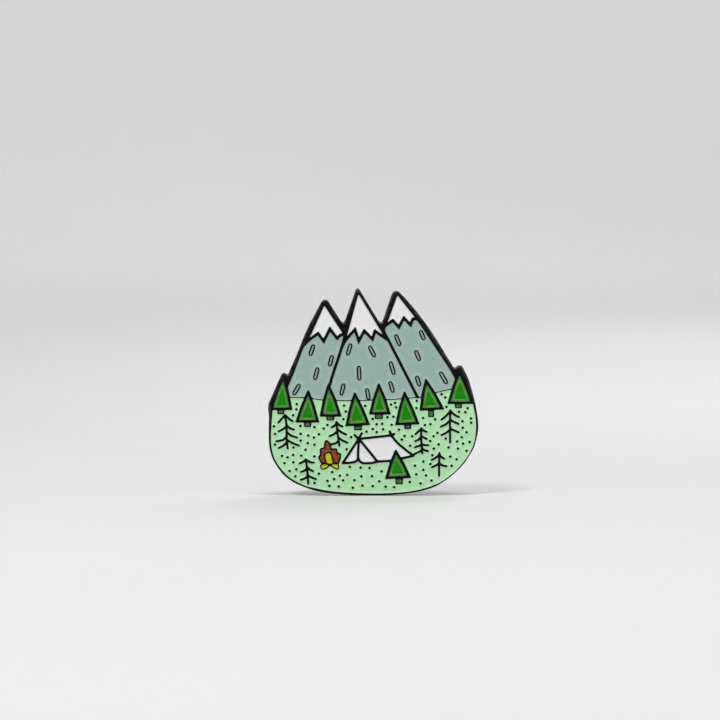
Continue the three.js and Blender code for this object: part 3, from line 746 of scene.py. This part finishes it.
def cap(node, x, y, z):
    """A dished disc with a rolled rim and a pressed ring."""
    profile = softened(
        np.array(
            [
                (WIRE_HOLE, 0.47),
                (2.7, 0.47),
                (3.9, 0.36),
                (4.6, 0.26),
                (5.15, 0.22),
                (5.4, 0.02),
                (5.62, 0.0),
                (5.75, 0.16),
                (5.72, 0.38),
                (5.5, 0.5),
                (5.1, 0.5),
                (4.75, 0.5),
                (4.5, 0.62),
                (4.2, 0.66),
                (3.95, 0.62),
                (3.7, 0.73),
                (3.4, 0.75),
                (WIRE_HOLE, 0.75),
            ]
        ),
        0.08,
        2,
    )
    settle(lathe(f"{node}_turned", profile, (x, y, z), finishes["clutch_metal"], 128, True), node)


def thicken(made, thickness, bevel):
    solid = made.modifiers.new("thickness", "SOLIDIFY")
    solid.thickness = thickness * MM
    solid.offset = 0.0
    edge = made.modifiers.new("edges", "BEVEL")
    edge.width = bevel * MM
    edge.segments = 2
    edge.limit_method = "ANGLE"
    edge.angle_limit = math.radians(50)
    return made


def dome(node, x, y, z):
    """A drum with a domed top, a window each side for the ears and a foot flange on the cap."""
    profile = eased(
        [
            (3.85, 0.89),
            (3.3, 0.89),
            (DRUM_RADIUS, 1.25),
            (DRUM_RADIUS, 2.35),
            (3.05, 2.7),
            (2.3, 2.87),
            (1.35, 2.87),
            (1.0, 2.87),
        ],
        0.28,
        3,
    )
    rows = []
    for (r0, y0), (r1, y1) in zip(profile, profile[1:]):
        rows.append((r0, y0))
        for level in WINDOW_HEIGHTS:
            if y0 < level - 1e-6 and y1 > level + 1e-6:
                share = (level - y0) / (y1 - y0)
                rows.append((r0 + (r1 - r0) * share, level))
    rows.append(tuple(profile[-1]))
    half = math.asin(WINDOW_HALF_WIDTH / DRUM_RADIUS)
    marks = [-half, half, math.pi - half, math.pi + half, 2 * math.pi - half]
    angles = []
    for a, b in zip(marks, marks[1:]):
        count = round((b - a) / math.radians(4))
        angles += [a + (b - a) * k / count for k in range(count)]
    points = [
        (x + r * math.cos(a), y + h, z + r * math.sin(a)) for r, h in rows for a in angles
    ]
    faces = []
    count = len(angles)
    for k, ((_, y0), (_, y1)) in enumerate(zip(rows, rows[1:])):
        for i in range(count):
            j = (i + 1) % count
            middle = angles[i] + math.radians(1)
            open_side = abs(math.cos(middle)) > math.cos(half)
            low, high = WINDOW_HEIGHTS
            if open_side and low - 1e-6 <= min(y0, y1) and max(y0, y1) <= high + 1e-6:
                continue
            faces.append([k * count + i, k * count + j, (k + 1) * count + j, (k + 1) * count + i])
    used = sorted({i for f in faces for i in f})
    number = {i: k for k, i in enumerate(used)}
    made = made_of(
        f"{node}_pressed",
        [points[i] for i in used],
        [[number[i] for i in reversed(f)] for f in faces],
        finishes["clutch_metal"],
        40,
    )
    settle(thicken(made, 0.25, 0.04), node)


def leaf(node, x, y, z, level, side):
    """A spring leaf: a strip with a hole for the post, bent up outside the window into a curled ear."""
    line = eased(
        [
            (-2.7, level + 0.125),
            (3.72, level + 0.125),
            (4.0, level + 0.42),
            (4.72, 3.75),
            (4.98, 4.18),
            (5.38, 4.26),
        ],
        0.35,
        3,
    )
    run = np.concatenate([[0], np.cumsum(np.linalg.norm(np.diff(line, axis=0), axis=1))])
    total = run[-1]
    shape = np.array(
        [
            (0.35, -LEAF_HALF_WIDTH),
            (total - 2.2, -LEAF_HALF_WIDTH),
            (total - 0.9, -1.5),
            (total, -0.85),
            (total, 0.85),
            (total - 0.9, 1.5),
            (total - 2.2, LEAF_HALF_WIDTH),
            (0.35, LEAF_HALF_WIDTH),
            (0.0, 1.2),
            (0.0, -1.2),
        ]
    )
    outline = stepped(softened(shape, 0.4, 3), 0.25)
    hole_at = 2.7 + WIRE_HOLE - WIRE_RADIUS - LEAF_CLEARANCE
    hole = circle((hole_at, 0), WIRE_HOLE, 32)[::-1]
    edges = Walls([outline, hole])
    grid = np.stack(
        np.meshgrid(np.arange(0.1, total, 0.2), np.arange(-1.5, 1.55, 0.25)), -1
    ).reshape(-1, 2)
    cut = Cut([outline, hole], [grid[edges.distance(grid) > 0.09]])
    faces = [t for t, r in zip(cut.triangles, cut.region) if cut.level[r] == 1]
    used = sorted({i for t in faces for i in t})
    number = {i: k for k, i in enumerate(used)}
    points = []
    for s, w in cut.points[used]:
        along = np.interp(s, run, line[:, 0])
        up = np.interp(s, run, line[:, 1])
        points.append((x + side * along, y + up, z + w))
    faces = [[number[i] for i in (t if side > 0 else reversed(t))] for t in faces]
    made = made_of(f"{node}_bent", points, faces, finishes["clutch_metal"], 40)
    settle(thicken(made, 0.24, 0.05), node)


for side in ("left", "right"):
    low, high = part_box(f"post_{side}")
    x, z = (low.x + high.x) / 2 / MM, (low.z + high.z) / 2 / MM
    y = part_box(f"clutch_cap_{side}")[0].y / MM
    post(f"post_{side}", x, z)
    cap(f"clutch_cap_{side}", x, y, z)
    dome(f"clutch_dome_{side}", x, y, z)
    leaf(f"spring_leaf_{side}_lower", x, y, z, LEAF_LEVELS[0], 1)
    leaf(f"spring_leaf_{side}_upper", x, y, z, LEAF_LEVELS[1], -1)


# ---- stage, light and camera ----------------------------------------------------------------------

low, high = cad_box
ground = low.z / MM - 0.02
bowl = eased([(0.0, ground), (420.0, ground), (640.0, ground + 90), (700.0, ground + 600)], 120, 4)
stage_points, stage_faces = [], []
for r, h in bowl[1:]:
    stage_points += [(px, py, h) for px, py in circle((0, 0), r, 96)]
stage_points.append((0, 0, ground))
stage_faces += [[len(stage_points) - 1, i, (i + 1) % 96] for i in range(96)]
for k in range(len(bowl) - 2):
    for i in range(96):
        j = (i + 1) % 96
        stage_faces.append([k * 96 + i, (k + 1) * 96 + i, (k + 1) * 96 + j, k * 96 + j])
paper = Nodes("stage_paper")
sheet = paper.mix(paper.noise(0.02, 2.0), linear("#efefee"), linear("#f3f3f2"))
paper.link(sheet, paper.shader.inputs["Base Color"])
paper.set(Roughness=0.9)
made_of("stage_floor", stage_points, stage_faces, paper.material, 60)


def lamp(name, place, aim, size, watts):
    light = bpy.data.lights.new(name, "AREA")
    light.shape = "DISK"
    light.size = size
    light.energy = watts
    made = bpy.data.objects.new(name, light)
    bpy.context.scene.collection.objects.link(made)
    made.location = place
    made.rotation_euler = (Vector(aim) - Vector(place)).to_track_quat("-Z", "Y").to_euler()
    return made


lamp("key_light", (-0.2, -0.34, 0.36), (0, 0, 0), 0.12, 0.83)
lamp("top_light", (0.03, -0.12, 0.42), (0, 0, 0), 0.14, 0.54)
lamp("fill_light", (0.32, -0.3, 0.18), (0, 0, 0), 0.25, 0.2)
lamp("back_light", (0.15, 0.35, 0.3), (0, 0, 0), 0.25, 0.36)
lamp("wall_light", (0, 0.25, 0.5), (0, 0.66, 0.12), 0.3, 0.7)

world = bpy.data.worlds.new("studio")
bpy.context.scene.world = world
world.use_nodes = True
world.node_tree.nodes["Background"].inputs["Color"].default_value = (0.93, 0.96, 1.0, 1.0)
world.node_tree.nodes["Background"].inputs["Strength"].default_value = 0.21

camera = bpy.data.cameras.new("camera")
camera.lens = 100.0
camera.sensor_width = 36.0
camera.clip_start = 0.005
camera.clip_end = 10.0
eye = bpy.data.objects.new("camera", camera)
bpy.context.scene.collection.objects.link(eye)
eye.location = (-0.00193, -0.2867, 0.00454)
eye.rotation_euler = (math.radians(90), 0, 0)
bpy.context.scene.camera = eye
bpy.context.scene.view_settings.view_transform = "Standard"
